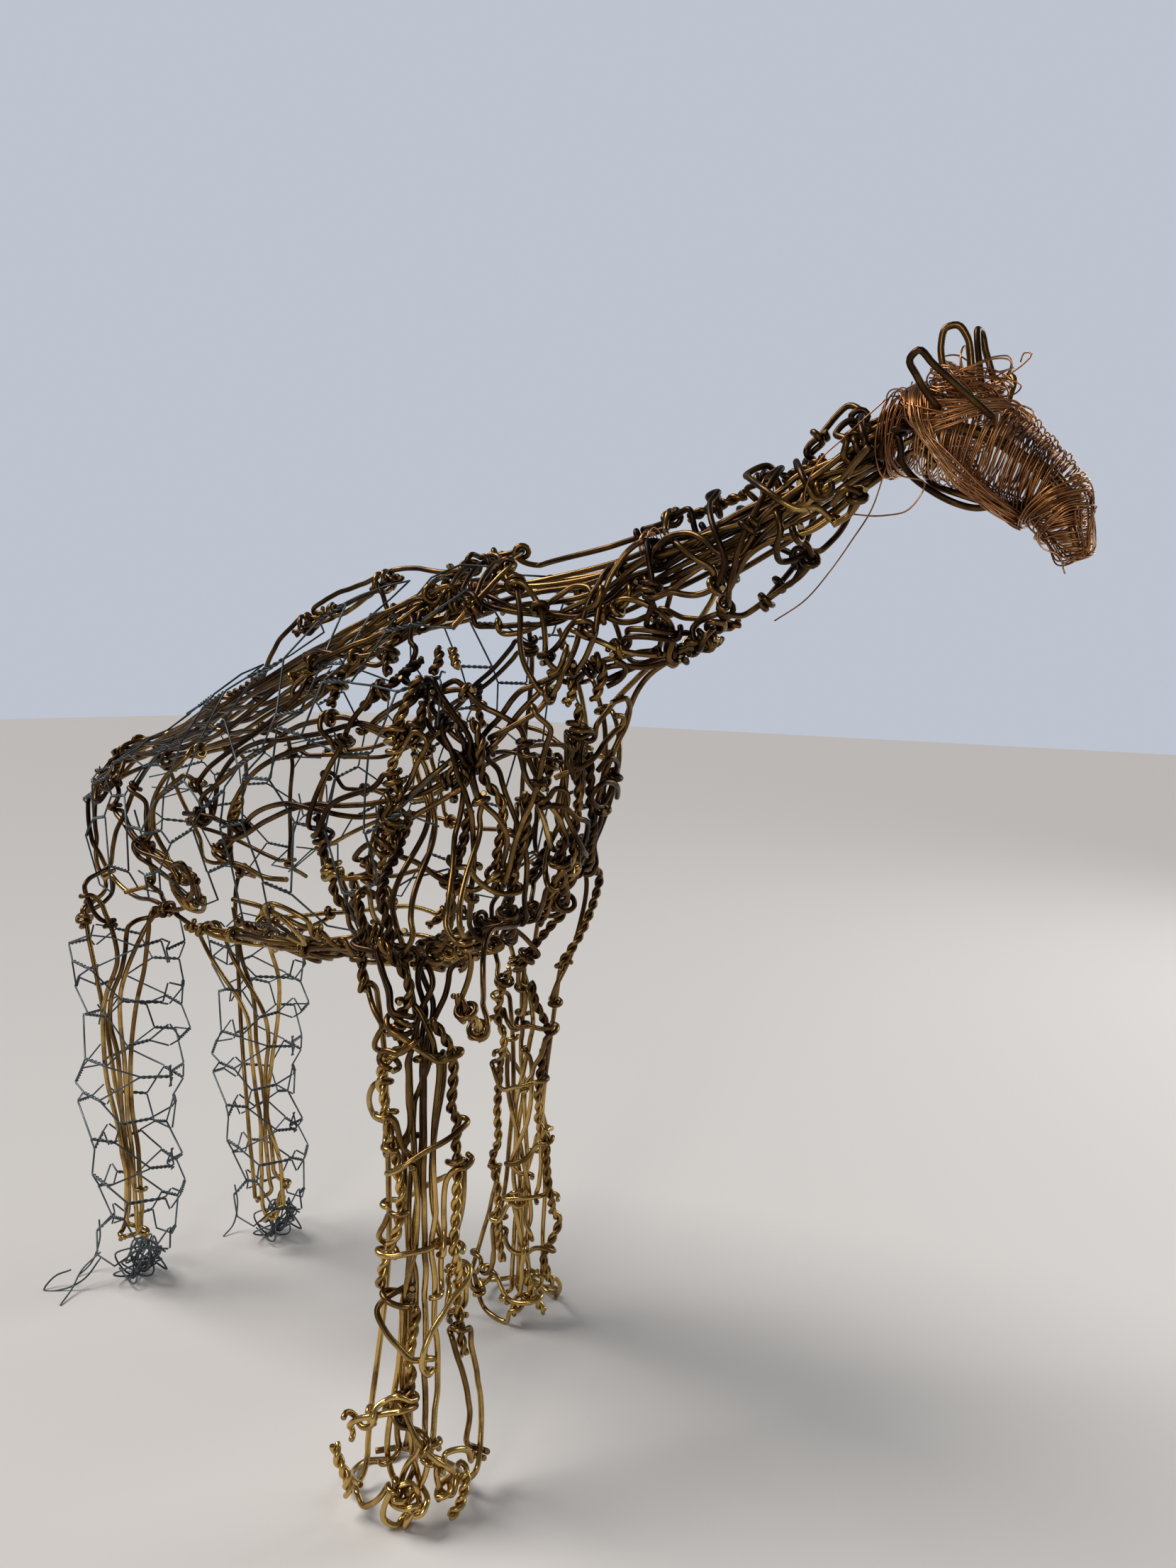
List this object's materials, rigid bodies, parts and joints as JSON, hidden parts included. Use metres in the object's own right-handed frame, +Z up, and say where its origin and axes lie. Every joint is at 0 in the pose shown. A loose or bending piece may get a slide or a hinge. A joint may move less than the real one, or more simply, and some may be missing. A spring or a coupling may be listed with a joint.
{
  "type": "wire giraffe sculpture",
  "caption": "Free-standing giraffe bent from brass wire, with a forward-reaching neck, netting-clad hind legs and a head wound in fine copper wire.",
  "frame": {"origin": "on the ground, midway between the four feet", "axes": "+X towards the head, +Y to the giraffe's left, +Z up"},
  "size_m": [0.5442, 0.1938, 0.4738],
  "materials": {
    "brass_wire": "aged satin",
    "galvanised_wire": "dull weathered zinc",
    "copper_wire": "aged copper, satin"
  },
  "bodies": {
    "root": {"back_outer_wires": "brass_wire", "belly_knots": "brass_wire", "belly_wires": "brass_wire", "brow_band": "copper_wire", "cheek_bands": "copper_wire", "cheek_wrap": "copper_wire", "chest_coils": "brass_wire", "chest_wires": "brass_wire", "crown_winding": "copper_wire", "flank_wires_left": "brass_wire", "flank_wires_right": "brass_wire", "fore_left_core_wires": "brass_wire", "fore_left_hoof_wires": "brass_wire", "fore_left_side_wires": "brass_wire", "fore_left_twisted_pairs": "brass_wire", "fore_leg_hangers": "brass_wire", "fore_right_core_wires": "brass_wire", "fore_right_hoof_wires": "brass_wire", "fore_right_side_wires": "brass_wire", "fore_right_twisted_pairs": "brass_wire", "hind_left_core_wires": "brass_wire", "hind_left_foot_netting": "galvanised_wire", "hind_left_netting_inner": "galvanised_wire", "hind_left_netting_outer": "galvanised_wire", "hind_right_core_wires": "brass_wire", "hind_right_foot_netting": "galvanised_wire", "hind_right_netting_inner": "galvanised_wire", "hind_right_netting_outer": "galvanised_wire", "jaw_wires": "brass_wire", "left_ear_loop": "brass_wire", "left_ossicone": "brass_wire", "loose_wire_ends": "copper_wire", "muzzle_bands": "copper_wire", "muzzle_winding": "copper_wire", "neck_binding_ties": "copper_wire", "neck_core_wires": "brass_wire", "neck_knots": "brass_wire", "neck_lacing_left": "brass_wire", "neck_lacing_right": "brass_wire", "neck_throat_wires": "brass_wire", "neck_top_wires": "brass_wire", "netting_left_flank": "galvanised_wire", "netting_right_flank": "galvanised_wire", "netting_rump": "galvanised_wire", "nose_ridge_winding": "copper_wire", "poll_winding": "copper_wire", "right_ear_loop": "brass_wire", "right_ossicone": "brass_wire", "rump_hoops_left": "brass_wire", "rump_hoops_right": "brass_wire", "rump_knots": "brass_wire", "shoulder_lacing_right": "brass_wire", "shoulder_wires_left": "brass_wire", "shoulder_wires_right": "brass_wire", "spine_wires": "brass_wire", "withers_loops": "brass_wire"}
  },
  "joints": []
}
